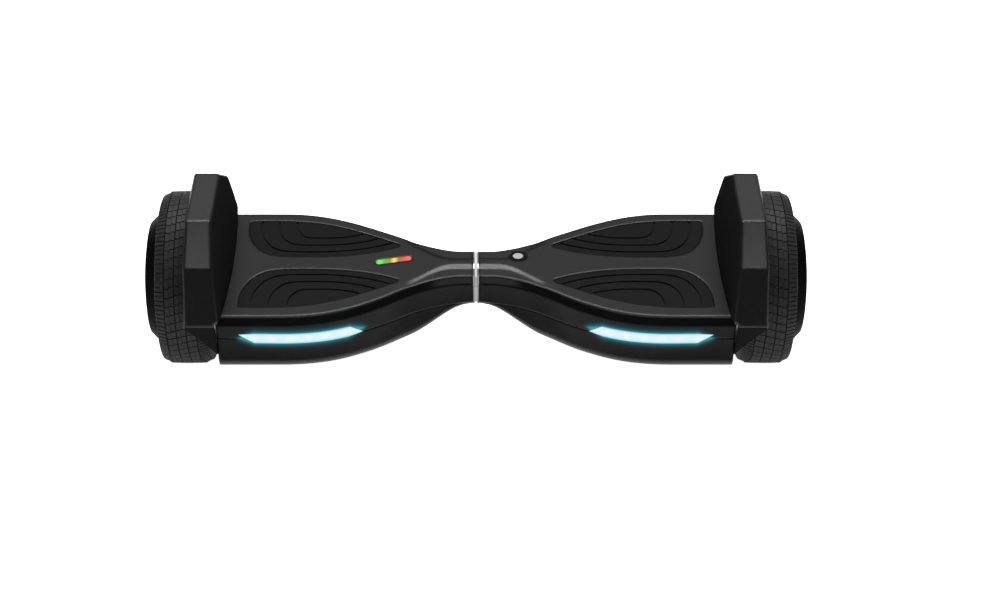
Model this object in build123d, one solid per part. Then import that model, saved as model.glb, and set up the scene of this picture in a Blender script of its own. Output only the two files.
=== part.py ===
"""Self balancing hoverboard: two hinged halves, each with a hub motor wheel and two foot pads.

Millimetres. +X runs along the board, -Y is the front with the lights, +Z is up. The origin is on
the floor under the middle. Each half is drawn on the +X side, and its place out from the middle
is called s. The left half is its mirror image.
"""

from build123d import *
from math import cos, pi, radians, sin
import os

os.makedirs("parts", exist_ok=True)

# Wheels
tyre_d = 170.0
tyre_w = 48.0
tyre_gap = 11.0  # from the shell's end to the tyre
bead_r = 62.0
rim_wall = 5.0
cap_bulge = 17.5  # hub cap beyond the tyre
cap_bevel = 10.5
cap_wall = 2.5
axle_r = 8.0
axle_tip_r = 6.0
running = 0.05  # radial clearance of every turning fit

# Shell
shell_end = 247.0
deck_rise = 17.0  # deck above the axle
belly_drop = 49.0  # belly below the axle
deck_half = 86.5
neck_half = 21.0
neck_end = 14.0  # the neck is even up to here
shoulder = 190.0  # the deck has its full depth from here
neck_belly_lift = 30.0
belly_level = 66.0  # the belly is level from here
front_swell = (6.6, 4.2)  # extra reach of the front edge, and what it loses again further out
swell_rise = (45.0, 105.0)
swell_fall = (115.0, 190.0)
ridge_lift = 0.6  # the neck's middle above the deck
ridge_end = 60.0
step_middle = 6.0  # a slope parts the neck's middle from its lower edges
step_half = 3.0
step_bend = (22.0, 84.0)  # it swings out to the deck's edge between these
step_out = 41.0
edge_sink = 1.2  # the neck's edges below the deck
edge_rise = (60.0, 76.0)  # they come up to the deck between these
edge_drop = 7.0  # chamfer round the deck
lean = 6.0  # the walls lean in by this much towards the belly
neck_corner = 9.0
belly_corner = 20.0
wall = 2.5
seam_drop = 7.7  # seam below the axle at the shoulder
seam_slope = 0.0466
seam_gap = 0.3
waist_step = 10.0  # even steps keep the shell free of waves
waist_steps = 17
neck_gap = 1.2  # from the middle to each trim ring
ring_t = 1.6
ring_proud = 0.5
thrust_gap = 0.15  # beside the plate between the rings
thrust_inset = 1.0

# Foot pads
pad_tip = 74.0
pad_inset = 20.0  # pad's outer end from the shell's end
pad_margin = 13.5  # deck left between a pad and its edge
pad_half_gap = 11.5
pad_t = 2.4
pad_sunk = 0.5
pad_travel = 1.2
pad_clear = 0.5
pad_corner = 2.5
groove_w = 2.0
groove_deep = 1.3
groove_shares = (0.865, 0.67, 0.46)  # grooves' size against the pad's
tray_t = 2.0
tab = (10.0, 1.6)
tab_clear = 0.8

# Lights
lens_start = 109.0
lens_inset = 21.0
lens_taper = (12.0, 15.0)  # length of the inner and the outer point
lens_tips = (-11.5, -0.9)  # heights of the points from the axle
lens_upper = (-1.0, 0.3)  # upper edge at its inner and its outer end
lens_lower = (-13.2, -11.6)
lamps = 6
lamp_half = (2.5, 2.0)
lamp_margin = 4.7  # from the lens's shoulders to the first and last lamp
strip_z = (-12.0, -2.5)  # lamp board's edges from the axle
fit_gap = 0.15

# Pivot and frames
tube_r = 10.0
tube_bore = 8.0
bush_wall = 2.0
boss_wall = 2.0
bosses = ((10.0, 30.0), (50.0, 60.0))
plate_t = 4.0
plate_drop = 5.0  # plate's underside below the axle
plate_half = 44.0
seat_len = 42.0
clamp_len = 14.0
clamp_wall = 5.0
clamp_screw_y = 16.5

# Power pack and boards
pack_size = (84.0, 68.0, 36.0)
pack_start = 119.0
board_t = 1.6
board_stand = 4.0
gate_floor = 0.8
rib_deep = 3.0
strap_t = 1.0
screw_r = 1.6

# Controls
button_at = (41.5, 11.7)
button_r = 5.2
bezel_r = 8.5
button_travel = 0.8
indicator_at = (81.0, 4.0)
indicator_size = (36.0, 7.0)
indicator_turn = 13.0
port_at = (92.0, 0.0)
port_r = 9.5
port_bore = 7.5
port_flange = 13.0
knuckle_r = 1.4
cap_pin_r = 0.8
cap_t = 1.6
hinge_drop = 2.0  # hinge below the belly
hinge_out = 0.8  # hinge's knuckles beyond the port's flange
lug_y = 5.4
lug_half = 1.2

# Fenders
fender_gap = 20.6  # from the tyre to the arch's corners
fender_t = 3.0
fender_reach = 29.0  # beyond the shell's end
flank_steps = (-9.0, -3.0, 6.0)  # flank from the shell's end: deck's middle, deck's sides, top
flank_round = 3.5
band_chamfer = 2.0
skirt_lift = 24.0  # skirt above the belly
arch_corners = ((8.0, 0.0), (39.3, 0.0), (65.8, -2.6))  # angle, and what is added to the gap

# Motor
magnet_count = 20
magnet_t = 3.6
teeth = 18
tooth_half = 2.5

# Worked out from the sizes above
tyre_r = tyre_d / 2
axle_z = tyre_r
deck_z = axle_z + deck_rise
belly_z = axle_z - belly_drop
tyre_in = shell_end + tyre_gap
tyre_out = tyre_in + tyre_w
cap_out = tyre_out + cap_bulge
shell_start = neck_gap + ring_t
plate_z = axle_z - plate_drop
plate_top = plate_z + plate_t
bush_r = tube_r + bush_wall
boss_r = bush_r + boss_wall
pad_outer = shell_end - pad_inset
pad_top = deck_z - pad_sunk
pad_bottom = pad_top - pad_t
tray_z = pad_bottom - pad_travel
tray_under = tray_z - tray_t
tube_end = bosses[-1][1]
hinge_s = port_at[0] + port_flange + knuckle_r + hinge_out
hinge_z = belly_z - hinge_drop
fender_out = shell_end + fender_reach
flank_mid, flank_side, flank_top = (shell_end + step for step in flank_steps)
skirt_z = belly_z + skirt_lift
lens_end = shell_end - lens_inset
sides = {"left": True, "right": False}


def ramp(s, start, end, power=1.0):
    """0 before start, 1 after end, and a cosine between."""
    t = min(max((s - start) / (end - start), 0.0), 1.0)
    return (1 - cos(pi * t**power)) / 2


def deck_edge(s):
    return neck_half + (deck_half - neck_half) * ramp(s, neck_end, shoulder, 0.85)


def front_edge(s):
    return deck_edge(s) + front_swell[0] * ramp(s, *swell_rise) - front_swell[1] * ramp(s, *swell_fall)


def belly_at(s):
    return belly_z + neck_belly_lift * (1 - ramp(s, 0.0, belly_level))


def ridge_at(s):
    return deck_z + ridge_lift * (1 - ramp(s, neck_end, ridge_end))


def seam_at(s):
    return axle_z - seam_drop - seam_slope * (shoulder - s)


def inset(points, distance):
    """Move every side of a convex outline inwards by a distance."""
    count = len(points)
    moved = []
    for i in range(count):
        before, here, after = points[i - 1], points[i], points[(i + 1) % count]
        a = Vector(*here) - Vector(*before)
        b = Vector(*after) - Vector(*here)
        normal_a = Vector(a.Y, -a.X).normalized()
        normal_b = Vector(b.Y, -b.X).normalized()
        share = 1 + normal_a.dot(normal_b)
        step = (normal_a + normal_b) * (distance / share)
        moved.append((here[0] + step.X, here[1] + step.Y))
    return moved


def half_section(s, edge):
    """Outline from the middle of the deck to the middle of the belly, for one side's edge."""
    slope = step_middle + (step_out - step_middle) * ramp(s, *step_bend)
    low = deck_z - edge_sink * (1 - ramp(s, *edge_rise))
    side = edge + edge_drop
    return [
        (slope - step_half, ridge_at(s)),
        (slope + step_half, low),
        (edge, low),
        (side, deck_z - edge_drop),
        (side - lean, belly_at(s)),
    ]


def section(s, depth=0.0):
    """Cross-section of the shell at s, drawn a depth inside its skin."""
    front = [(-y, z) for y, z in reversed(half_section(s, front_edge(s)))]
    outline = half_section(s, deck_edge(s)) + front
    shape = make_face(Polyline(*inset(outline, depth), close=True).edges())
    corner = neck_corner + (belly_corner - neck_corner) * ramp(s, 0.0, belly_level)
    shape = fillet(shape.vertices().sort_by(Axis.Y)[:2], corner - depth)
    return Plane.YZ.offset(s) * shape


def shell_solid(start, end, depth=0.0):
    """The shell's outer form, or its hollow where a depth is given."""
    even = [neck_end - 2.0 + waist_step * k for k in range(waist_steps)]
    stops = [start] + [s for s in even if start < s < shoulder - waist_step / 2] + [shoulder]
    body = loft([section(s, depth) for s in stops])
    return body + extrude(section(shoulder, depth), end - shoulder, dir=(1, 0, 0))


def block(low, high):
    """Box between two corners."""
    size = [b - a for a, b in zip(low, high)]
    middle = [(a + b) / 2 for a, b in zip(low, high)]
    return Pos(*middle) * Box(*size)


def rod(radius, start, end, y=0.0, z=axle_z):
    """Cylinder along X."""
    length = end - start
    return Pos((start + end) / 2, y, z) * Rot(0, 90, 0) * Cylinder(radius, length)


def post(radius, x, y, low, high):
    """Cylinder along Z."""
    return Pos(x, y, (low + high) / 2) * Cylinder(radius, high - low)


def spun(points):
    """Turn an outline of (s, radius) points about the axle."""
    outline = make_face(Polyline(*[(s, 0, axle_z + r) for s, r in points], close=True).edges())
    return revolve(outline, Axis((0, 0, axle_z), (1, 0, 0)))


def above_seam(clearance, high):
    """Everything over the slanting seam between the covers."""
    near, far = -20.0, shell_end + 20.0
    corners = [
        (near, 0, seam_at(near) + clearance),
        (far, 0, seam_at(far) + clearance),
        (far, 0, high),
        (near, 0, high),
    ]
    outline = make_face(Polyline(*corners, close=True).edges())
    return extrude(outline, 2 * deck_half, dir=(0, 1, 0), both=True)


# Foot pads


def pad_middle_side():
    """Points of the rear pad's long curve beside the middle, from its outer end to its tip."""
    corner_y = deck_edge(pad_outer) - pad_margin
    length, depth = pad_outer - pad_tip, corner_y - pad_half_gap
    shares = ((0.954, 0.34), (0.869, 0.09), (0.69, 0.0), (0.44, 0.01), (0.2, 0.11))
    bend = [(pad_outer, pad_half_gap + 0.77 * depth)]
    bend += [(pad_tip + u * length, pad_half_gap + v * depth) for u, v in shares]
    return [(pad_outer, corner_y), *bend, (pad_tip, deck_edge(pad_tip) - pad_margin)]


def pad_outline(grow=0.0):
    """Rear pad seen from above, between its long curve and one along the deck's edge.

    A clearance round the pad, or a wall, is drawn by letting the outline grow.
    """
    near = pad_middle_side()
    along = [pad_tip + u * (pad_outer - pad_tip) for u in (0.1, 0.22, 0.36, 0.52, 0.7)]
    far = [(s, deck_edge(s) - pad_margin) for s in along]
    points = inset(near + far, -grow)
    tip = len(near) - 1
    outline = make_face([Spline(*points[: tip + 1]), Spline(*points[tip:], points[0])])
    return fillet(outline.vertices(), pad_corner + max(grow, 0.0))


def groove_region(share, grow):
    """Everything on the deck edge's side of the pad's long curve once it has shrunk to a share."""
    anchor = (pad_tip + 0.43 * (pad_outer - pad_tip), deck_edge(pad_outer) - pad_margin - 1.0)
    near = [tuple(a + share * (p - a) for p, a in zip(point, anchor)) for point in pad_middle_side()]
    beyond = deck_half + 2 * edge_drop
    points = inset([*near, (near[-1][0], beyond), (near[0][0], beyond)], -grow)
    count = len(near)
    return make_face([Spline(*points[:count]), *Polyline(*points[count - 1 :], points[0]).edges()])


def pad_grooves():
    """Three nested grooves that run out over the pad's edge towards the deck's edge."""
    half = groove_w / 2
    return [groove_region(share, half) - groove_region(share, -half) for share in groove_shares]


def tab_places():
    length = pad_outer - pad_tip
    return [(pad_tip + share * length, pad_half_gap + 20.0) for share in (0.36, 0.74)]


def foot_pad():
    """Rear pad with its two tabs that reach down to the sensors."""
    pad = Pos(0, 0, pad_bottom) * extrude(pad_outline(), pad_t)
    for ring in pad_grooves():
        pad -= Pos(0, 0, pad_top - groove_deep) * extrude(ring, pad_t)
    low = plate_top + board_stand + board_t + gate_floor + 2 * pad_travel
    for s, y in tab_places():
        pad += block((s - tab[0] / 2, y - tab[1] / 2, low), (s + tab[0] / 2, y + tab[1] / 2, pad_bottom))
    return pad


def mirrored_in_depth(shape):
    return mirror(shape, about=Plane.XZ)


# Covers

outer_form = shell_solid(shell_start, shell_end)
hollow = shell_solid(shell_start - 1.0, shell_end - wall, wall)
skin = outer_form - hollow


def lens_prism(grow=0.0):
    """Long slanting hexagon across the seam, cut from the front through to the back."""
    inner, outer = lens_start + lens_taper[0], lens_end - lens_taper[1]
    corners = [
        (lens_start, axle_z + lens_tips[0]),
        (inner, axle_z + lens_upper[0]),
        (outer, axle_z + lens_upper[1]),
        (lens_end, axle_z + lens_tips[1]),
        (outer, axle_z + lens_lower[1]),
        (inner, axle_z + lens_lower[0]),
    ]
    grown = inset(corners, -grow)
    outline = make_face(Polyline(*[(s, 0, z) for s, z in grown], close=True).edges())
    return extrude(outline, 2 * deck_half, dir=(0, -1, 0))


def cover_posts():
    """Places of the screws that join the two covers."""
    near = pack_start + 8.0
    far = pad_outer - 8.0
    return [(s, side * (deck_edge(s) - 12.0)) for s in (near, far) for side in (-1, 1)]


def top_cover(is_left):
    cover = skin & above_seam(seam_gap / 2, deck_z + 20.0)
    tray = pad_outline(pad_clear + wall)
    room = pad_outline(pad_clear)
    for flip in (False, True):
        basin = Pos(0, 0, tray_under) * extrude(tray, deck_z - 0.5 - tray_under)
        space = Pos(0, 0, tray_z) * extrude(room, deck_z)
        for s, y in tab_places():
            half = (tab[0] / 2 + tab_clear, tab[1] / 2 + tab_clear)
            space += block((s - half[0], y - half[1], tray_under - 1), (s + half[0], y + half[1], deck_z))
        if flip:
            basin, space = mirrored_in_depth(basin), mirrored_in_depth(space)
        cover += basin
        cover -= space
    for s, y in cover_posts():
        low = seam_at(s) + seam_gap
        cover += post(screw_r + 2.6, s, y, low, tray_under) - post(screw_r, s, y, low, low + 12.0)
    cover -= lens_prism(fit_gap)
    cover -= rod(axle_r + 1.0, shell_end - 2 * wall, shell_end + 1)
    half = axle_r + 1.0
    cover -= block((shell_end - 2 * wall, -half, belly_z), (shell_end + 1, half, axle_z))
    if is_left:
        cover -= indicator_prism(fit_gap, deck_z - 10, deck_z + 10)
    else:
        cover -= post(bezel_r + fit_gap, *button_at, deck_z - 8, deck_z + 10)
    return cover


def bottom_cover(is_left):
    cover = skin - above_seam(-seam_gap / 2, deck_z + 20.0)
    for s, y in cover_posts():
        high = seam_at(s) - seam_gap
        cover += post(screw_r + 3.4, s, y, belly_z + 1.0, high) & outer_form
        cover -= post(screw_r + 0.1, s, y, belly_z - 1, high + 1)
        cover -= post(screw_r + 1.7, s, y, belly_z - 1, belly_z + 8.0)
    cover -= lens_prism(fit_gap)
    half = axle_r + 1.0
    cover -= block((shell_end - 2 * wall, -half, axle_z - half), (shell_end + 1, half, axle_z))
    if is_left:
        cover -= post(port_r + fit_gap, *port_at, belly_z - 1, belly_z + 10)
    return cover


def light_lens():
    return skin & lens_prism()


def lamp_places():
    """Middle of each lamp, level with the lens at its place."""
    first = lens_start + lens_taper[0] + lamp_margin
    last = lens_end - lens_taper[1] + 0.7
    inner = (lens_upper[0] + lens_lower[0]) / 2
    outer = (lens_upper[1] + lens_lower[1]) / 2
    shares = [i / (lamps - 1) for i in range(lamps)]
    return [(first + u * (last - first), axle_z + inner + u * (outer - inner)) for u in shares]


def light_board():
    """Curved strip behind the lens with its lamps."""
    start = lens_start - 40.0
    front = shell_solid(start, shell_end - wall, wall + 4.0)
    back = shell_solid(start - 1.0, shell_end, wall + 4.0 + board_t)
    lamp_front = shell_solid(start, shell_end - wall, wall + 2.0)
    low, high = (axle_z + level for level in strip_z)
    places = lamp_places()
    first, last = places[0][0] - 7.0, places[-1][0] + 7.0
    strip = (front - back) & block((first, -2 * deck_half, low), (last, 0, high))
    for s, z in places:
        lamp = block(
            (s - lamp_half[0], -2 * deck_half, z - lamp_half[1]),
            (s + lamp_half[0], 0, z + lamp_half[1]),
        )
        strip += (lamp_front - back) & lamp
    return strip


def cover_screws():
    screws = []
    for s, y in cover_posts():
        head = belly_z + 8.0
        screw = post(screw_r + 1.4, s, y, head - 2.4, head)
        screw += post(screw_r - 0.1, s, y, head, seam_at(s) + 9.0)
        screw -= post(1.0, s, y, head - 2.5, head - 1.0)
        screws.append(screw)
    return screws


def trim_ring():
    plate = extrude(section(shell_start, -ring_proud), -ring_t, dir=(1, 0, 0))
    return plate - rod(tube_r + 0.4, -10, 20)


# Fender

def arch_prism(depth=0.0):
    """The arch seen from the end of the board, as a prism along X."""
    rear = []
    for angle, extra in arch_corners:
        reach = tyre_r + fender_gap + extra
        rear.append((reach * cos(radians(angle)), axle_z + reach * sin(radians(angle))))
    arch = rear + [(-y, z) for y, z in reversed(rear)]
    foot = deck_half + edge_drop
    points = [(-foot, skirt_z)] + [(foot, skirt_z)] + arch
    outline = inset(list(reversed(points)), depth)
    face = make_face(Polyline(*outline, close=True).edges())
    low = Plane.YZ.offset(flank_mid - 20.0) * face
    return extrude(low, fender_out - flank_mid + 20.0 + depth, dir=(1, 0, 0))


def flank_block(depth=0.0):
    """Space outboard of the scooped flank, which bulges towards the deck's middle."""
    levels = []
    top_z = axle_z + tyre_r + fender_gap + 2.0
    for z, mid, side in (
        (skirt_z - 5.0, flank_mid, flank_side),
        (deck_z, flank_mid, flank_side),
        (top_z, flank_top, flank_top + 0.5),
    ):
        span = tyre_r + fender_gap + 5.0
        ends = [(side + depth, -span), (side + depth, span)]
        inner = ThreePointArc(ends[0], (mid + depth, 0), ends[1])
        rest = Polyline(ends[1], (fender_out, span), (fender_out, -span), ends[0])
        levels.append(Pos(0, 0, z) * make_face([inner, *rest.edges()]))
    lower = loft(levels[:2], ruled=True)
    upper = loft(levels[1:], ruled=True)
    return lower + upper


def rounded_arch():
    """Outer form of the fender with its two long edges softened."""
    arch = arch_prism() & flank_block()
    across = [edge for edge in arch.edges() if abs(edge.tangent_at(0.5).X) < 0.9]
    upper = [edge for edge in across if edge.center().Z > deck_z + 4.0]
    arch = fillet([edge for edge in upper if edge.center().X < flank_top + 5.0], flank_round)
    rim_edges = [edge for edge in arch.edges() if edge.center().X > fender_out - 1.0]
    return chamfer([edge for edge in rim_edges if edge.center().Z > deck_z + 4.0], band_chamfer)


def fender():
    body = rounded_arch() - (arch_prism(fender_t) & Pos(1.0, 0, 0) * flank_block(fender_t - 1.0))
    body -= block((0, -2 * deck_half, 0), (shell_end + 0.05, 2 * deck_half, deck_z + 0.05))
    low = skirt_z - 1.0
    mouth = [(shell_end + 0.5, low), (fender_out + 1, low), (fender_out + 1, axle_z + 14.0)]
    curve = ThreePointArc(mouth[2], (shell_end + 15.0, axle_z - 4.0), mouth[0])
    opening = Rot(90, 0, 0) * make_face([*Polyline(*mouth).edges(), curve])
    body -= extrude(opening, 2 * tyre_r, dir=(0, 1, 0), both=True)
    inside = tyre_r - 5.0
    body -= block((shell_end - 1, -inside, 0), (fender_out + 1, inside, deck_z - edge_drop - 5))
    return max(body.solids(), key=lambda solid: solid.volume)


# Frame, axle and pivot


def frame(is_left):
    near, far = bosses[0][0], shell_end - wall - 0.2
    corners = [(near, 16.0), (64.0, 18.0), (112.0, plate_half - 4.0), (far, plate_half)]
    outline = corners + [(s, -y) for s, y in reversed(corners)]
    body = Pos(0, 0, plate_z) * extrude(make_face(Polyline(*outline, close=True).edges()), plate_t)
    for low, high in bosses:
        body += rod(boss_r, low, high)
    for y in (-10.0, 10.0):
        body += block((near, y - 1.5, plate_z - rib_deep), (shell_end - seat_len, y + 1.5, plate_z + 1.0))
    seat = block((shell_end - seat_len, -21.0, axle_z - axle_r - 8.0), (far, 21.0, axle_z))
    body += seat
    for s, y in board_posts():
        body += post(3.0, s, y, plate_top - 1.0, plate_top + board_stand)
    body -= block((tube_end, -4.5, plate_z - 1), (pack_start - 6, 4.5, plate_top + 1))
    body -= rod(tube_r if is_left else bush_r, 0, tube_end + 1)
    body -= rod(bush_r + 1.2, tube_end, tube_end + 4.5)
    body -= rod(tube_r + 0.6, tube_end, tube_end + 7.0)
    for low, high in zip(bosses, bosses[1:]):
        body -= rod(tube_r + 1.0, low[1], high[0])
    body -= rod(axle_r, shell_end - seat_len - 1, shell_end)
    for y in (-clamp_screw_y, clamp_screw_y):
        body -= post(1.6, clamp_mid(), y, axle_z - 12.0, axle_z + 1)
    return body


def clamp_mid():
    return shell_end - wall - 0.6 - clamp_len / 2


def board_posts():
    return [(s, y) for s in (pack_start - 1, pad_outer - 32) for y in (-36.0, 36.0)]


def axle_clamp():
    """Saddle over the axle with its two screws."""
    s = clamp_mid()
    body = block((s - clamp_len / 2, -20.5, axle_z), (s + clamp_len / 2, 20.5, axle_z + 5))
    body += rod(axle_r + clamp_wall, s - clamp_len / 2, s + clamp_len / 2) & block(
        (s - clamp_len, -30, axle_z), (s + clamp_len, 30, axle_z + 30)
    )
    body -= rod(axle_r, s - clamp_len, s + clamp_len)
    for y in (-clamp_screw_y, clamp_screw_y):
        body -= post(1.6, s, y, axle_z - 1, axle_z + 6)
    return body


def clamp_screws():
    screws = []
    for y in (-clamp_screw_y, clamp_screw_y):
        screw = post(1.55, clamp_mid(), y, axle_z - 11.0, axle_z + 5.0)
        screw += post(3.0, clamp_mid(), y, axle_z + 5.0, axle_z + 8.0)
        screws.append(screw)
    return screws


def axle():
    step = tyre_out - 15.0
    body = rod(axle_r, shell_end - seat_len + 1, step)
    return body + rod(axle_tip_r, step, tyre_out - 7.0)


# Hub motor wheel


def tyre():
    half = [
        (tyre_w / 2 - 3.4, bead_r),
        (tyre_w / 2 - 3.4, bead_r + 6),
        (tyre_w / 2 - 1.0, bead_r + 7),
        (tyre_w / 2, bead_r + 10),
        (tyre_w / 2, tyre_r - 8.0),
        (tyre_w / 2 - 2.0, tyre_r - 3.5),
        (tyre_w / 2 - 7.0, tyre_r - 0.8),
        (tyre_w / 2 - 15.0, tyre_r),
    ]
    middle = (tyre_in + tyre_out) / 2
    inner = [(middle - w, r) for w, r in half]
    return spun([(middle + w, r) for w, r in half] + list(reversed(inner)))


def rim():
    """Turning can of the motor, with its inner plate."""
    back, front = tyre_in + 3.4, tyre_out - 3.4
    return spun(
        [
            (back, bead_r),
            (front, bead_r),
            (front, bead_r - rim_wall),
            (back + 3.5, bead_r - rim_wall),
            (back + 3.5, 17.0),
            (back + 9.0, 17.0),
            (back + 9.0, 14.0),
            (back, 14.0),
        ]
    )


def motor_cover():
    front = tyre_out - 3.4
    return spun(
        [
            (front - 3.5, bead_r - rim_wall),
            (front, bead_r - rim_wall),
            (front, 0),
            (front - 3.0, 0),
            (front - 3.0, 13.0),
            (front - 9.0, 13.0),
            (front - 9.0, 16.0),
            (front - 3.5, 16.0),
        ]
    )


def bearings():
    back, front = tyre_in + 3.4, tyre_out - 3.4
    inner = rod(14.0, back + 1.0, back + 8.0) - rod(axle_r + running, back, back + 9)
    outer = rod(13.0, front - 10.0, front - 3.9) - rod(axle_tip_r + running, front - 12, front)
    return [inner, outer]


def magnets():
    back, front = tyre_in + 13.0, tyre_out - 15.0
    ring = rod(bead_r - rim_wall, back, front)
    ring -= rod(bead_r - rim_wall - magnet_t, back - 1, front + 1)
    slot = block((back - 1, -0.6, axle_z), (front + 1, 0.6, axle_z + bead_r))
    for i in range(magnet_count):
        ring -= turned(slot, 360 * i / magnet_count)
    return ring.solids()


def turned(shape, degrees):
    """Turn a shape about the axle."""
    return Pos(0, 0, axle_z) * Rot(degrees, 0, 0) * Pos(0, 0, -axle_z) * shape


def stator():
    back, front = tyre_in + 15.0, tyre_out - 17.0
    reach = bead_r - rim_wall - magnet_t - 1.0
    body = rod(24.0, back, front)
    body += rod(reach, back, front) - rod(reach - 3.0, back, front)
    tooth = block((back, -tooth_half, axle_z + 22), (front, tooth_half, axle_z + reach - 2))
    slot = block((back - 1, -1, axle_z + reach - 6), (front + 1, 1, axle_z + reach + 4))
    for i in range(teeth):
        body += turned(tooth, 360 * i / teeth)
        body -= turned(slot, 360 * (i + 0.5) / teeth)
    return body - rod(axle_r, back - 1, front + 1)


def windings():
    back, front = tyre_in + 15.0, tyre_out - 17.0
    reach = bead_r - rim_wall - 9.0
    coil = block((back - 1.6, -3.9, axle_z + 26), (front + 1.6, 3.9, axle_z + reach))
    coil -= block((back, -tooth_half, axle_z + 20), (front, tooth_half, axle_z + reach + 5))
    return [turned(coil, 360 * i / teeth) for i in range(teeth)]


def hub_cap():
    """Shallow dome with a bevelled shoulder over the motor."""
    base = tyre_out - 3.2
    rim_r = bead_r + 4.0
    edge = tyre_out + 1.5
    halves = []
    for depth in (0.0, cap_wall):
        corner = (edge - 0.4 * depth, rim_r - depth)
        bend = (edge + cap_bevel - 0.7 * depth, rim_r - cap_bevel - 0.7 * depth)
        halves.append([(base, rim_r - depth), corner, bend, (cap_out - depth, 0)])
    outer, inner = halves
    edges = []
    for points in halves:
        edges += [Line(points[0], points[1]), Line(points[1], points[2])]
        edges.append(TangentArc(points[3], points[2], tangent=(0, 1)))
    edges += [Line(outer[0], inner[0]), Line(outer[-1], inner[-1])]
    profile = Pos(0, 0, axle_z) * Rot(90, 0, 0) * make_face(edges)
    return revolve(profile, Axis((0, 0, axle_z), (1, 0, 0)))


# Pivot


def pivot_tube():
    body = rod(tube_r, -tube_end, tube_end + 6.0) - rod(tube_bore, -tube_end - 1, tube_end + 7)
    groove = rod(tube_r + 1, tube_end + 1.8, tube_end + 3.4) - rod(tube_r - 0.8, tube_end, tube_end + 5)
    return body - groove


def retaining_ring():
    body = rod(tube_r + 2.6, tube_end + 2.0, tube_end + 3.2) - rod(tube_r - 0.8, tube_end, tube_end + 5)
    mouth = block((tube_end, -3, axle_z - tube_r - 4), (tube_end + 5, 3, axle_z))
    return body - mouth


def pivot_bushings():
    """Two sleeves on the tube and the thrust plate between the trim rings."""
    sleeves = [rod(bush_r, a, b) - rod(tube_r + running, a - 1, b + 1) for a, b in bosses]
    half = neck_gap - thrust_gap
    plate = extrude(section(shell_start, thrust_inset), -2 * half, dir=(1, 0, 0))
    plate = Pos(half - shell_start, 0, 0) * plate
    return [*sleeves, (plate - rod(tube_r + running, -10, 10)).solid()]


def wiring():
    """Leads that run from the right half through the pivot tube to the power pack."""
    turn_s = -(pack_start - 11.0)
    drop_z = plate_z - 20.0
    path = FilletPolyline(
        (tube_end + 12.0, 0, axle_z),
        (turn_s, 0, axle_z),
        (turn_s, 0, drop_z),
        (-pack_start, 0, drop_z),
        radius=[8.0, 5.0],
    )
    profile = Plane(path @ 0, z_dir=path % 0) * Circle(3.0)
    return sweep(profile, path=path)


# Power pack and boards


def battery_pack():
    top = plate_z - rib_deep - 1.0
    low = (pack_start, -pack_size[1] / 2, top - pack_size[2])
    body = block(low, (pack_start + pack_size[0], pack_size[1] / 2, top))
    return fillet(body.edges().filter_by(Axis.X), 4.0)


def battery_straps():
    straps = []
    top = plate_z - rib_deep - 1.0
    half = pack_size[1] / 2
    low = top - pack_size[2]
    for s in (pack_start + 18.0, pack_start + 60.0):
        body = block((s, -half - strap_t, low - strap_t), (s + 12.0, half + strap_t, plate_z))
        body -= block((s - 1, -half, low), (s + 13.0, half, plate_z + 1))
        for side in (-1, 1):
            inner, outer = sorted((side * half, side * (half + 8.0)))
            body += block((s, inner, plate_z - strap_t), (s + 12.0, outer, plate_z))
        straps.append(body)
    return straps


def control_board():
    top = plate_z - rib_deep - 1.0
    body = block((pack_start, -32, top - board_t), (pack_start + 84, 32, top))
    body += block((pack_start + 6, -28, top), (pack_start + 70, -16, plate_z))
    body += block((pack_start + 6, 16, top), (pack_start + 70, 28, plate_z))
    for s in (16.0, 30.0, 44.0):
        body += post(6.0, pack_start + s, 0, top - 20.0, top - board_t)
    for y in (-24.0, -8.0, 8.0, 24.0):
        body += block((pack_start + 72, y - 5, top - 9.0), (pack_start + 82, y + 5, top - board_t))
    return body


def sensor_board():
    """Board under the pads with a light gate for each tab."""
    low = plate_top + board_stand
    top = low + board_t
    body = block((pack_start - 6, -40, low), (pad_outer - 27, 40, top))
    for s, y in tab_places():
        for side in (-1, 1):
            gate = block((s - 6, side * y - 3.6, top), (s + 6, side * y + 3.6, top + 5))
            gate -= block((s - 7, side * y - 1.6, top + gate_floor), (s + 7, side * y + 1.6, top + 10))
            body += gate
    return body


def indicator_prism(grow, low, high):
    shape = SlotOverall(indicator_size[0] + 2 * grow, indicator_size[1] + 2 * grow)
    placed = Pos(*indicator_at, low) * Rot(0, 0, -indicator_turn) * shape
    return extrude(placed, high - low, dir=(0, 0, 1))


def indicator_lens():
    body = indicator_prism(0, deck_z - wall - 0.4, deck_z + 0.3)
    return body + indicator_prism(1.5, deck_z - wall - 1.6, deck_z - wall - 0.2)


def indicator_board():
    low = deck_z - wall - 4.2
    board = indicator_prism(2.0, low, low + board_t)
    return board + indicator_prism(-1.5, low + board_t, deck_z - wall - 1.6)


def button_bezel():
    top = ridge_at(button_at[0]) + 0.3
    body = post(bezel_r, *button_at, deck_z - 6.0, top)
    return body - post(button_r + 0.3, *button_at, deck_z - 4.5, top + 1)


def power_button():
    top = ridge_at(button_at[0]) + 0.1
    body = post(button_r, *button_at, deck_z - 2.2, top)
    return fillet(body.edges().sort_by(Axis.Z)[-1], 0.8)


def power_switch():
    return post(3.0, *button_at, deck_z - 4.5, deck_z - 2.2 - button_travel - 0.1)


def hinge_hole(radius):
    return Pos(hinge_s, 0, hinge_z) * Rot(90, 0, 0) * Cylinder(radius, 20)


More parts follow.
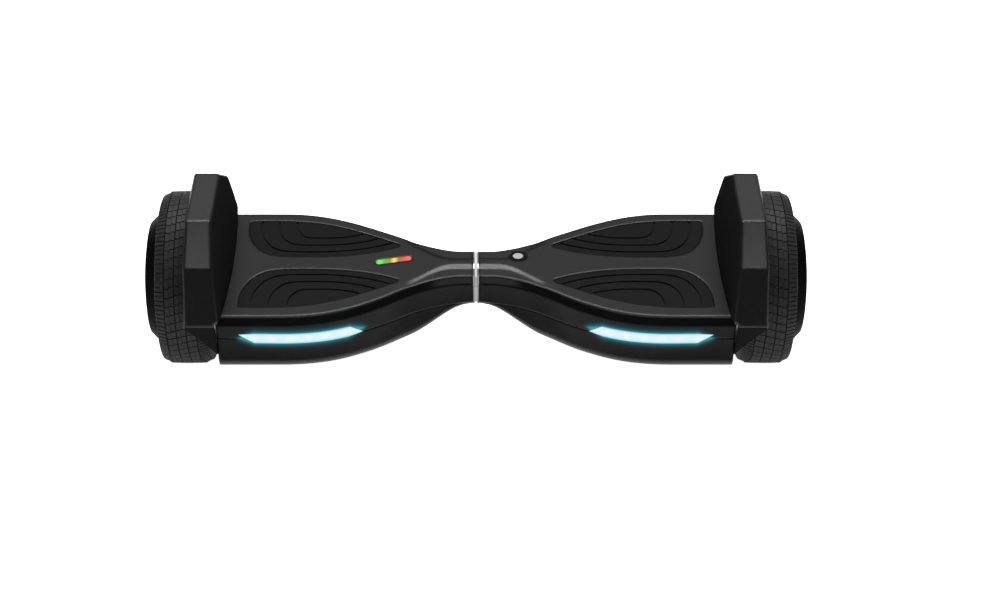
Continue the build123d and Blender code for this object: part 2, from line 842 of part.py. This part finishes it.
def charge_port():
    low = belly_z - 1.1
    high = belly_z - 0.05
    arm = port_at[0] + 8.0
    body = post(port_flange, *port_at, low, high) + post(port_r, *port_at, belly_z - 0.5, belly_z + 18)
    for y in (-lug_y, lug_y):
        body += block((arm, y - lug_half, low), (hinge_s + knuckle_r, y + lug_half, high))
        foot = hinge_z - knuckle_r
        body += block((hinge_s - knuckle_r, y - lug_half, foot), (hinge_s + knuckle_r, y + lug_half, high))
    body -= post(port_bore, *port_at, low - 1, belly_z + 12)
    return body - hinge_hole(cap_pin_r)


def charge_cap():
    top = belly_z - 1.2
    half = lug_y - lug_half - 0.6
    body = post(port_flange - 1, *port_at, top - cap_t, top)
    body += block((port_at[0], -half + 0.1, top - cap_t), (hinge_s, half - 0.1, top - 0.2))
    body += Pos(hinge_s, 0, hinge_z) * Rot(90, 0, 0) * Cylinder(knuckle_r, 2 * half - 0.2)
    for side in (-1, 1):
        inner, outer = sorted((side * half, side * (half + 4.4)))
        body -= block((port_at[0] + 8, inner, top - 6), (hinge_s + 3, outer, top + 3))
    return body - hinge_hole(cap_pin_r + running)


def cap_pin():
    return Pos(hinge_s, 0, hinge_z) * Rot(90, 0, 0) * Cylinder(cap_pin_r, 2 * (lug_y + lug_half))


def sounder():
    return post(9.0, 100.0, 0, plate_z - 14.0, plate_z - 7.0)


# Write every piece


def write(name, shape, is_left=False):
    """Save a node, mirrored to the left half if asked."""
    solids = shape if isinstance(shape, list) else shape.solids()
    placed = [mirror(solid, about=Plane.YZ) if is_left else solid for solid in solids]
    whole = Compound(children=[piece.solids()[0] for piece in placed])
    whole.label = name
    export_step(whole, f"parts/{name}.step")


pad = foot_pad()
for side, is_left in sides.items():
    write(f"{side}_top_cover", top_cover(is_left), is_left)
    write(f"{side}_bottom_cover", bottom_cover(is_left), is_left)
    write(f"{side}_frame", frame(is_left), is_left)
    write(f"{side}_rear_pad", pad, is_left)
    write(f"{side}_front_pad", mirrored_in_depth(pad), is_left)

for make in (
    fender,
    light_lens,
    light_board,
    cover_screws,
    trim_ring,
    axle_clamp,
    clamp_screws,
    axle,
    tyre,
    rim,
    motor_cover,
    bearings,
    magnets,
    stator,
    windings,
    hub_cap,
    sensor_board,
):
    shape = make()
    for side, is_left in sides.items():
        write(f"{side}_{make.__name__}", shape, is_left)

left_only = (
    indicator_lens,
    indicator_board,
    battery_pack,
    battery_straps,
    charge_port,
    charge_cap,
    cap_pin,
)
for make in left_only:
    write(make.__name__, make(), True)

for make in (control_board, sounder, button_bezel, power_button, power_switch):
    write(make.__name__, make())

for make in (pivot_tube, retaining_ring, pivot_bushings, wiring):
    write(make.__name__, make())
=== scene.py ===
import math

import bmesh
import bpy
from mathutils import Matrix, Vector


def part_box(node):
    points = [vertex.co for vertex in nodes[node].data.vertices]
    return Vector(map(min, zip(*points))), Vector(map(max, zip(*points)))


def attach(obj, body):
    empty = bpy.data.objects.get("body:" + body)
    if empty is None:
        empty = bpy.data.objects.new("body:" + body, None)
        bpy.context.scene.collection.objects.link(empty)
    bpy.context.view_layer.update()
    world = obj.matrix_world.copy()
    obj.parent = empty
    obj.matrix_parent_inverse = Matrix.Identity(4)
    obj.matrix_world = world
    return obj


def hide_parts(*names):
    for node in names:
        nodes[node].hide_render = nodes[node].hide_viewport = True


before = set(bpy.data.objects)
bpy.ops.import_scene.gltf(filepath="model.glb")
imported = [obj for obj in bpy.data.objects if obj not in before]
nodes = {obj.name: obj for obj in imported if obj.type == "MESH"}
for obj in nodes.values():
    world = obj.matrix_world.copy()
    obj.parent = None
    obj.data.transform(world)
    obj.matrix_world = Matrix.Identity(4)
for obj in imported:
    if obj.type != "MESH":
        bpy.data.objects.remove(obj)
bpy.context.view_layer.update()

print("frame loaded:", len(nodes), "nodes")


# ---- small helpers ----

def boxOf(node):
    low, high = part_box(node)
    return Vector(low), Vector(high)


def addPiece(name, bm, body, material, smooth=True):
    mesh = bpy.data.meshes.new(name)
    bmesh.ops.recalc_face_normals(bm, faces=bm.faces)
    bm.to_mesh(mesh)
    bm.free()
    piece = bpy.data.objects.new(name, mesh)
    bpy.context.scene.collection.objects.link(piece)
    mesh.materials.append(material)
    for face in mesh.polygons:
        face.use_smooth = smooth
    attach(piece, body)
    return piece


# ---- node groups shared by several finishes ----

def newGroup(name, inputs, outputs):
    group = bpy.data.node_groups.new(name, "ShaderNodeTree")
    for label, value in inputs.items():
        socket = group.interface.new_socket(name=label, in_out="INPUT", socket_type="NodeSocketFloat")
        socket.default_value = value
    for label in outputs:
        group.interface.new_socket(name=label, in_out="OUTPUT", socket_type="NodeSocketFloat")
    return group, group.nodes.new("NodeGroupInput"), group.nodes.new("NodeGroupOutput")


def addMath(tree, operation, first, second=None, third=None, clamp=False):
    # each of the values is a socket or a number
    node = tree.nodes.new("ShaderNodeMath")
    node.operation = operation
    node.use_clamp = clamp
    for place, value in enumerate((first, second, third)):
        if value is None:
            continue
        if isinstance(value, (int, float)):
            node.inputs[place].default_value = value
        else:
            tree.links.new(value, node.inputs[place])
    return node.outputs[0]


def addNoise(tree, vector, scale, detail):
    noise = tree.nodes.new("ShaderNodeTexNoise")
    noise.inputs["Detail"].default_value = detail
    tree.links.new(vector, noise.inputs["Vector"])
    if isinstance(scale, (int, float)):
        noise.inputs["Scale"].default_value = scale
    else:
        tree.links.new(scale, noise.inputs["Scale"])
    return noise.outputs["Fac"]


def makeGrainGroup():
    # fine moulded texture, with a broad change in roughness
    group, given, out = newGroup(
        "mouldGrain",
        {"Grain Scale": 2200.0, "Roughness": 0.5, "Roughness Change": 0.06},
        ("Height", "Roughness"),
    )
    place = group.nodes.new("ShaderNodeTexCoord").outputs["Object"]
    fine = addNoise(group, place, given.outputs["Grain Scale"], 3.0)
    broad = addNoise(group, place, 22.0, 4.0)
    centred = addMath(group, "SUBTRACT", broad, 0.5)
    rough = addMath(group, "MULTIPLY_ADD", centred, given.outputs["Roughness Change"], given.outputs["Roughness"])
    group.links.new(fine, out.inputs["Height"])
    group.links.new(rough, out.inputs["Roughness"])
    return group


grainGroup = makeGrainGroup()

# the lens: where its lamps stand, its middle line and its half height, all in metres
lensLight = {
    "firstLamp": 0.1257, "lampPitch": 0.0172, "middleAt": 0.121, "middleHeight": 0.0779, "middleSlope": 0.0161,
    "halfHeight": 0.006, "halfLength": 0.045, "centre": 0.1665, "tipLength": 0.013,
}


def makeLensGroup():
    # Heat is 1 at a lamp, Edge is 0 on the middle line and 1 at the outline, Halo fades away outside it and marks
    # the painted glow of the lens light on the shell around it
    group, given, out = newGroup("lensLight", {}, ("Heat", "Edge", "Halo"))
    split = group.nodes.new("ShaderNodeSeparateXYZ")
    place = group.nodes.new("ShaderNodeTexCoord")
    group.links.new(place.outputs["Object"], split.inputs[0])
    across, depth, height = split.outputs
    along = addMath(group, "ABSOLUTE", across)
    fromLamp = addMath(group, "SUBTRACT", along, lensLight["firstLamp"] - 10 * lensLight["lampPitch"])
    toLamp = addMath(group, "PINGPONG", fromLamp, lensLight["lampPitch"] / 2)
    slope = lensLight["middleSlope"]
    base = lensLight["middleHeight"] - slope * lensLight["middleAt"]
    middle = addMath(group, "MULTIPLY_ADD", along, slope, base)
    off = addMath(group, "ABSOLUTE", addMath(group, "SUBTRACT", height, middle))
    spread = addMath(group, "MULTIPLY", addMath(group, "MULTIPLY", toLamp, toLamp), 0.6)
    spread = addMath(group, "MULTIPLY_ADD", off, off, spread)
    cooling = addMath(group, "MULTIPLY", addMath(group, "SQRT", spread), 210.0)
    heat = addMath(group, "SUBTRACT", 1.0, cooling, clamp=True)
    edge = addMath(group, "MULTIPLY", off, 1 / lensLight["halfHeight"], clamp=True)
    fromCentre = addMath(group, "ABSOLUTE", addMath(group, "SUBTRACT", along, lensLight["centre"]))
    pastEnd = addMath(group, "MAXIMUM", addMath(group, "SUBTRACT", fromCentre, lensLight["halfLength"]), 0.0)
    taper = addMath(group, "MULTIPLY", pastEnd, -lensLight["halfHeight"] / lensLight["tipLength"])
    reach = addMath(group, "MAXIMUM", addMath(group, "ADD", taper, lensLight["halfHeight"]), 0.0)
    beyond = addMath(group, "MAXIMUM", addMath(group, "SUBTRACT", off, reach), 0.0)
    pastTip = addMath(group, "MAXIMUM", addMath(group, "SUBTRACT", pastEnd, lensLight["tipLength"]), 0.0)
    apart = addMath(group, "ADD", beyond, pastTip)
    halo = addMath(group, "EXPONENT", addMath(group, "MULTIPLY", apart, -520.0))
    front = addMath(group, "LESS_THAN", depth, 0.0)
    group.links.new(heat, out.inputs["Heat"])
    group.links.new(edge, out.inputs["Edge"])
    group.links.new(addMath(group, "MULTIPLY", halo, front), out.inputs["Halo"])
    return group


lensGroup = makeLensGroup()


# ---- finishes ----

def plainFinish(name, colour, roughness, metallic=0.0, coat=0.0, specular=0.5,
                grainScale=2200.0, grainHeight=0.00003, change=0.06, edge=0.0):
    material = bpy.data.materials.new(name)
    material.use_nodes = True
    tree = material.node_tree
    shader = tree.nodes["Principled BSDF"]
    shader.inputs["Base Color"].default_value = (*colour, 1.0)
    shader.inputs["Metallic"].default_value = metallic
    shader.inputs["Coat Weight"].default_value = coat
    shader.inputs["Coat Roughness"].default_value = 0.08
    shader.inputs["Specular IOR Level"].default_value = specular
    grain = tree.nodes.new("ShaderNodeGroup")
    grain.node_tree = grainGroup
    grain.inputs["Grain Scale"].default_value = grainScale
    grain.inputs["Roughness"].default_value = roughness
    grain.inputs["Roughness Change"].default_value = change
    bump = tree.nodes.new("ShaderNodeBump")
    bump.inputs["Distance"].default_value = grainHeight
    tree.links.new(grain.outputs["Height"], bump.inputs["Height"])
    tree.links.new(grain.outputs["Roughness"], shader.inputs["Roughness"])
    tree.links.new(bump.outputs["Normal"], shader.inputs["Normal"])
    if edge:
        soft = tree.nodes.new("ShaderNodeBevel")
        soft.samples = 8
        soft.inputs["Radius"].default_value = edge
        tree.links.new(soft.outputs["Normal"], bump.inputs["Normal"])
    return material


def normalAxis(tree, axis):
    place = tree.nodes.new("ShaderNodeTexCoord")
    split = tree.nodes.new("ShaderNodeSeparateXYZ")
    tree.links.new(place.outputs["Normal"], split.inputs[0])
    return split.outputs[axis]


def shineByFacing(material, low, high, start=0.5, end=0.8):
    # faces that look along the board or down lose their shine
    tree = material.node_tree
    along = addMath(tree, "ABSOLUTE", normalAxis(tree, "X"))
    keep = addMath(tree, "MULTIPLY_ADD", along, -1 / (end - start), end / (end - start), clamp=True)
    upward = addMath(tree, "MULTIPLY_ADD", normalAxis(tree, "Z"), 5.0, 0.5, clamp=True)
    keep = addMath(tree, "MULTIPLY", keep, upward)
    shine = addMath(tree, "MULTIPLY_ADD", keep, high - low, low)
    tree.links.new(shine, tree.nodes["Principled BSDF"].inputs["Specular IOR Level"])


def shellFinish(name, deckHeight):
    # matt deck, glossy walls: parted just below the deck's edge
    material = plainFinish(name, looks["wallColour"], looks["wallRough"], grainHeight=0.00002, edge=0.004)
    tree = material.node_tree
    shader = tree.nodes["Principled BSDF"]
    place = tree.nodes.new("ShaderNodeTexCoord")
    split = tree.nodes.new("ShaderNodeSeparateXYZ")
    tree.links.new(place.outputs["Object"], split.inputs[0])
    onDeck = addMath(tree, "MULTIPLY_ADD", split.outputs["Z"], 4000.0, -4000.0 * deckHeight, clamp=True)
    tint = tree.nodes.new("ShaderNodeMix")
    tint.data_type = "RGBA"
    tint.inputs[6].default_value = (*looks["wallColour"], 1.0)
    tint.inputs[7].default_value = (*looks["deckColour"], 1.0)
    tree.links.new(onDeck, tint.inputs[0])
    tree.links.new(tint.outputs[2], shader.inputs["Base Color"])
    grain = next(node for node in tree.nodes if node.type == "GROUP")
    change = looks["deckRough"] - looks["wallRough"]
    rough = addMath(tree, "MULTIPLY_ADD", onDeck, change, grain.outputs["Roughness"])
    tree.links.new(rough, shader.inputs["Roughness"])
    # the rounded edge of the belly is the shiniest
    under = addMath(tree, "MULTIPLY_ADD", normalAxis(tree, "Z"), -4.0, -0.8, clamp=True)
    wallShine = addMath(tree, "MULTIPLY_ADD", under, looks["edgeShine"] - looks["wallShine"], looks["wallShine"])
    shine = addMath(tree, "MULTIPLY_ADD", onDeck, looks["deckShine"] - looks["wallShine"], wallShine)
    tree.links.new(shine, shader.inputs["Specular IOR Level"])
    # painted glow: the lens light falling on the shell round the lens is painted as cyan emission, strongest at
    # the lens outline
    lamps = tree.nodes.new("ShaderNodeGroup")
    lamps.node_tree = lensGroup
    spill = tree.nodes.new("ShaderNodeMix")
    spill.data_type = "RGBA"
    spill.inputs[6].default_value = (0.0, 0.0, 0.0, 1.0)
    spill.inputs[7].default_value = (0.05, 0.5, 0.62, 1.0)
    tree.links.new(lamps.outputs["Halo"], spill.inputs[0])
    tree.links.new(spill.outputs[2], shader.inputs["Emission Color"])
    shader.inputs["Emission Strength"].default_value = looks["spill"]
    return material


def dress(node, material):
    slots = nodes[node].data.materials
    slots.clear()
    slots.append(material)


looks = {
    "deckColour": (0.0105, 0.0105, 0.011),
    "wallColour": (0.006, 0.006, 0.0062),
    "deckRough": 0.3,
    "wallRough": 0.12,
    "deckShine": 0.3,
    "wallShine": 0.1,
    "edgeShine": 0.5,
    "spill": 0.6,
}
deckHeight = boxOf("left_rear_pad")[1].z - 0.0012
shellLook = shellFinish("shellFinish", deckHeight)
fenderLook = plainFinish("fenderFinish", (0.0145, 0.0145, 0.015), 0.24, edge=0.0045)
shineByFacing(fenderLook, 0.0, 0.5)
padLook = plainFinish("padFinish", (0.005, 0.005, 0.0053), 0.5, grainHeight=0.00006, specular=0.07)
tyreLook = plainFinish(
    "tyreFinish", (0.036, 0.036, 0.036), 0.5, specular=0.12, grainScale=900.0, grainHeight=0.00008
)
hubLook = plainFinish("hubFinish", (0.001, 0.001, 0.0011), 0.4, specular=0.01)
steelLook = plainFinish("steelFinish", (0.55, 0.55, 0.56), 0.3, metallic=1.0)
trimLook = plainFinish("trimFinish", (0.2, 0.2, 0.205), 0.3, metallic=1.0)
boardLook = plainFinish("boardFinish", (0.02, 0.14, 0.07), 0.4)
copperLook = plainFinish("copperFinish", (0.7, 0.3, 0.15), 0.35, metallic=1.0)
castLook = plainFinish("castFinish", (0.55, 0.55, 0.56), 0.5, metallic=1.0, grainHeight=0.0002, grainScale=700.0)
wrapLook = plainFinish("wrapFinish", (0.02, 0.08, 0.3), 0.35)
nylonLook = plainFinish("nylonFinish", (0.7, 0.68, 0.62), 0.5)
bezelLook = plainFinish("bezelFinish", (0.002, 0.002, 0.002), 0.3, specular=0.1)
buttonLook = plainFinish("buttonFinish", (0.44, 0.45, 0.47), 0.35, edge=0.0008)
leadLook = plainFinish("leadFinish", (0.02, 0.02, 0.02), 0.5)


# ---- lit lens and indicator ----

def glowFinish(name, strength):
    # cool white lens: each lamp is a hotter spot, and the light turns blue-green at the outline
    material = plainFinish(name, (0.06, 0.12, 0.14), 0.18)
    tree = material.node_tree
    shader = tree.nodes["Principled BSDF"]
    lamps = tree.nodes.new("ShaderNodeGroup")
    lamps.node_tree = lensGroup
    body = tree.nodes.new("ShaderNodeMix")
    body.data_type = "RGBA"
    body.inputs[6].default_value = (0.82, 0.97, 1.0, 1.0)
    body.inputs[7].default_value = (0.16, 0.68, 0.8, 1.0)
    rim = addMath(tree, "POWER", lamps.outputs["Edge"], 4.0)
    tree.links.new(rim, body.inputs[0])
    hot = tree.nodes.new("ShaderNodeMix")
    hot.data_type = "RGBA"
    hot.inputs[7].default_value = (1.0, 1.0, 1.0, 1.0)
    tree.links.new(lamps.outputs["Heat"], hot.inputs[0])
    tree.links.new(body.outputs[2], hot.inputs[6])
    tree.links.new(hot.outputs[2], shader.inputs["Emission Color"])
    shader.inputs["Emission Strength"].default_value = strength
    return material


def indicatorFinish(name, strength, start, end):
    # green at the outer end, yellow in the middle, red at the inner end
    material = plainFinish(name, (0.05, 0.05, 0.05), 0.2)
    tree = material.node_tree
    shader = tree.nodes["Principled BSDF"]
    place = tree.nodes.new("ShaderNodeTexCoord")
    split = tree.nodes.new("ShaderNodeSeparateXYZ")
    tree.links.new(place.outputs["Object"], split.inputs[0])
    length = end - start
    along = addMath(tree, "MULTIPLY_ADD", split.outputs["X"], 1 / length, -start / length, clamp=True)
    ramp = tree.nodes.new("ShaderNodeValToRGB")
    stops = (
        (0.0, (0.03, 0.22, 0.02)), (0.1, (0.1, 0.62, 0.07)), (0.26, (0.08, 0.3, 0.03)), (0.4, (0.2, 0.2, 0.02)),
        (0.52, (0.75, 0.5, 0.06)), (0.64, (0.22, 0.1, 0.03)), (0.78, (0.6, 0.05, 0.03)), (0.94, (0.85, 0.1, 0.08)),
        (1.0, (0.4, 0.02, 0.02)),
    )
    while len(ramp.color_ramp.elements) < len(stops):
        ramp.color_ramp.elements.new(0.5)
    for element, (position, colour) in zip(ramp.color_ramp.elements, stops):
        element.position = position
        element.color = (*colour, 1.0)
    tree.links.new(along, ramp.inputs[0])
    tree.links.new(ramp.outputs[0], shader.inputs["Emission Color"])
    tree.links.new(ramp.outputs[0], shader.inputs["Base Color"])
    shader.inputs["Emission Strength"].default_value = strength
    return material


glowLook = glowFinish("lensGlow", 0.8)
indicatorLow, indicatorHigh = boxOf("indicator_lens")
indicatorLook = indicatorFinish("indicatorGlow", 0.55, indicatorLow.x + 0.0015, indicatorHigh.x - 0.0015)

byWord = (
    ("cover_screws", steelLook), ("clamp_screws", steelLook), ("motor_cover", castLook),
    ("_cover", shellLook), ("fender", fenderLook), ("pad", padLook), ("tyre", tyreLook),
    ("hub_cap", hubLook), ("trim_ring", trimLook), ("board", boardLook), ("windings", copperLook),
    ("frame", castLook), ("axle_clamp", castLook), ("rim", castLook), ("battery_pack", wrapLook),
    ("bushings", nylonLook), ("bezel", bezelLook), ("power_button", buttonLook),
    ("light_lens", glowLook), ("indicator_lens", indicatorLook), ("wiring", leadLook),
    ("charge", leadLook), ("sounder", leadLook), ("switch", leadLook),
    ("", steelLook),
)
for node in nodes:
    dress(node, next(finish for word, finish in byWord if word in node))
print("finishes ready")


# ---- tyres ----

tread = {
    "pitches": 58,
    "ribs": ((-0.0235, -0.0147), (-0.0140, -0.0050), (-0.0043, 0.0043), (0.0050, 0.0140), (0.0147, 0.0235)),
    "groove": 0.0034,
    "blockGap": 0.075,
    "sipe": 0.12,
    "crown": 0.0008,
}


def treadRadius(offset, halfWidth, radius):
    # a slightly crowned tread that turns down into the shoulders
    share = abs(offset) / halfWidth
    return radius - tread["crown"] * share**2 - 0.0042 * max(0.0, (share - 0.78) / 0.22) ** 2


def makeTyre(side):
    node = f"{side}_tyre"
    low, high = boxOf(node)
    centre = (low + high) / 2
    radius = (high.z - low.z) / 2
    half = (high.x - low.x) / 2
    outward = -1 if side == "left" else 1
    rimNode = f"{side}_rim"
    rimLow, rimHigh = boxOf(rimNode)
    bead = (rimHigh.z - rimLow.z) / 2
    bm = bmesh.new()

    def onWheel(x, r, angle):
        return centre + Vector((x, -r * math.sin(angle), r * math.cos(angle)))

    # carcass: side walls and the floor of the grooves
    floorRadius = radius - tread["groove"]
    profile = [(-half + 0.0034, bead + 0.0002), (-half + 0.0030, bead + 0.006), (-half + 0.0004, bead + 0.0085)]
    profile += [(-half, bead + 0.012), (-half, radius - 0.0095), (-half + 0.0012, radius - 0.0066)]
    profile += [(-half + 0.004, floorRadius - 0.0012)]
    profile += [(-0.014, floorRadius), (0.0, floorRadius)]
    profile += [(-x, r) for x, r in reversed(profile[:-1])]
    segments = 174
    rings = []
    for k in range(segments):
        angle = 2 * math.pi * k / segments
        rings.append([bm.verts.new(onWheel(x, r, angle)) for x, r in profile])
    for k in range(segments):
        here, after = rings[k], rings[(k + 1) % segments]
        for j in range(len(profile)):
            n = (j + 1) % len(profile)
            bm.faces.new((here[j], after[j], after[n], here[n]))

    def point(x, angle, drop=0.0):
        r = treadRadius(x, half, radius) - drop
        return bm.verts.new(onWheel(outward * x, r, angle))

    def block(outline, chamfer=0.0003):
        # a raised block; outline is a list of (offset across, angle)
        middleX = sum(x for x, a in outline) / len(outline)
        middleA = sum(a for x, a in outline) / len(outline)
        top, edge, foot = [], [], []
        for x, a in outline:
            shrinkX = chamfer if x < middleX else -chamfer
            shrinkA = (chamfer if a < middleA else -chamfer) / radius
            top.append(point(x + shrinkX, a + shrinkA))
            edge.append(point(x, a, chamfer))
            foot.append(point(x, a, tread["groove"] + 0.0006))
        count = len(outline)
        bm.faces.new(top)
        for i in range(count):
            n = (i + 1) % count
            bm.faces.new((top[i], edge[i], edge[n], top[n]))
            bm.faces.new((edge[i], foot[i], foot[n], edge[n]))

    pitch = 2 * math.pi / tread["pitches"]
    gap = tread["blockGap"] * pitch
    for k in range(tread["pitches"]):
        for rib, (x0, x1) in enumerate(tread["ribs"]):
            if rib in (0, 4):
                # shoulder rib: wide and narrow lugs in turn
                start = k * pitch + (0.5 * pitch if rib == 4 else 0.0)
                inner, outer = (x1, x0) if rib == 0 else (x0, x1)
                mid = inner + (outer - inner) * 0.3
                a0, a2 = start + gap / 2, start + 0.5 * pitch + gap / 2
                a1, a3 = a2 - gap, start + pitch - gap / 2
                lug = [(inner, a0), (inner, a1), (outer, a1), (outer, a0)]
                second = [(inner, a2), (inner, a3), (outer, a3), (outer, a2)]
                bridge = [(inner, a1), (inner, a2), (mid, a2), (mid, a1)]
                for shape in (lug, second, bridge):
                    block(shape)
            else:
                # middle ribs: blocks whose ends step half way across
                start = k * pitch + (0.33 * rib) * pitch
                step = 0.16 * pitch
                mid = (x0 + x1) / 2
                a0, a1 = start + gap / 2, start + pitch - gap / 2
                for first, last, shift in ((x0, mid, 0.0), (mid, x1, step)):
                    block([(first, a0 + shift), (first, a1 + shift), (last, a1 + shift), (last, a0 + shift)])
    piece = addPiece(f"{side}Tread", bm, f"{side}_wheel", tyreLook, smooth=False)
    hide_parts(node)
    return piece


for side in ("left", "right"):
    makeTyre(side)
print("tyres ready")


# ---- camera, light and floor ----

view = {"distance": 2.1, "elevation": 35.0, "lens": 77.2, "aimHeight": 0.085, "shiftX": 0.0202, "shiftY": -0.0228}
tilt = math.radians(view["elevation"])
cameraData = bpy.data.cameras.new("camera")
cameraData.lens = view["lens"]
cameraData.sensor_width = 36.0
cameraData.shift_x = view["shiftX"]
cameraData.shift_y = view["shiftY"]
cameraData.clip_end = 30.0
camera = bpy.data.objects.new("camera", cameraData)
camera.location = (0.0, -view["distance"] * math.cos(tilt), view["aimHeight"] + view["distance"] * math.sin(tilt))
camera.rotation_euler = (math.pi / 2 - tilt, 0.0, 0.0)
bpy.context.scene.collection.objects.link(camera)
bpy.context.scene.camera = camera


def areaLight(name, place, aim, size, power, sizeY=None):
    data = bpy.data.lights.new(name, "AREA")
    data.energy = power
    data.size = size
    if sizeY:
        data.shape = "RECTANGLE"
        data.size_y = sizeY
    lamp = bpy.data.objects.new(name, data)
    lamp.location = place
    lamp.rotation_euler = (Vector(aim) - Vector(place)).to_track_quat("-Z", "Y").to_euler()
    bpy.context.scene.collection.objects.link(lamp)
    return lamp


def behind(elevation, distance):
    # a place behind the board at an elevation seen from its middle
    angle = math.radians(elevation)
    return (0.0, distance * math.cos(angle), 0.1 + distance * math.sin(angle))


def facing(elevation, distance):
    # a place in front of the board at an elevation seen from its middle
    x, y, z = behind(elevation, distance)
    return (x, -y, z)


areaLight("backSoftbox", behind(34.0, 2.6), (0.0, 0.0, 0.1), 3.2, 3.6, 0.5)
areaLight("ridgeStrip", behind(63.0, 2.6), (0.0, 0.0, 0.1), 2.6, 75.0, 0.4)
areaLight("topSoftbox", facing(70.0, 2.6), (0.0, 0.0, 0.1), 2.4, 9.0, 0.4)
areaLight("creaseStrip", facing(62.0, 2.6), (0.0, 0.0, 0.1), 2.4, 6.0, 0.1)

world = bpy.data.worlds.new("world")
bpy.context.scene.world = world
world.use_nodes = True
background = world.node_tree.nodes["Background"]
background.inputs["Color"].default_value = (1, 1, 1, 1)
background.inputs["Strength"].default_value = 0.02
bpy.context.scene.view_settings.view_transform = "Standard"

floorMesh = bmesh.new()
bmesh.ops.create_grid(floorMesh, x_segments=1, y_segments=1, size=8.0)
floorData = bpy.data.meshes.new("floor")
floorMesh.to_mesh(floorData)
floorMesh.free()
floor = bpy.data.objects.new("floor", floorData)
bpy.context.scene.collection.objects.link(floor)
floorLook = plainFinish("floorFinish", (1.0, 1.0, 1.0), 0.9, grainHeight=0.00001)
floorShader = floorLook.node_tree.nodes["Principled BSDF"]
floorShader.inputs["Emission Color"].default_value = (1, 1, 1, 1)
ray = floorLook.node_tree.nodes.new("ShaderNodeLightPath")
seen = addMath(floorLook.node_tree, "MULTIPLY_ADD", ray.outputs["Is Camera Ray"], 0.6, 0.4)
floorLook.node_tree.links.new(seen, floorShader.inputs["Emission Strength"])
floorData.materials.append(floorLook)
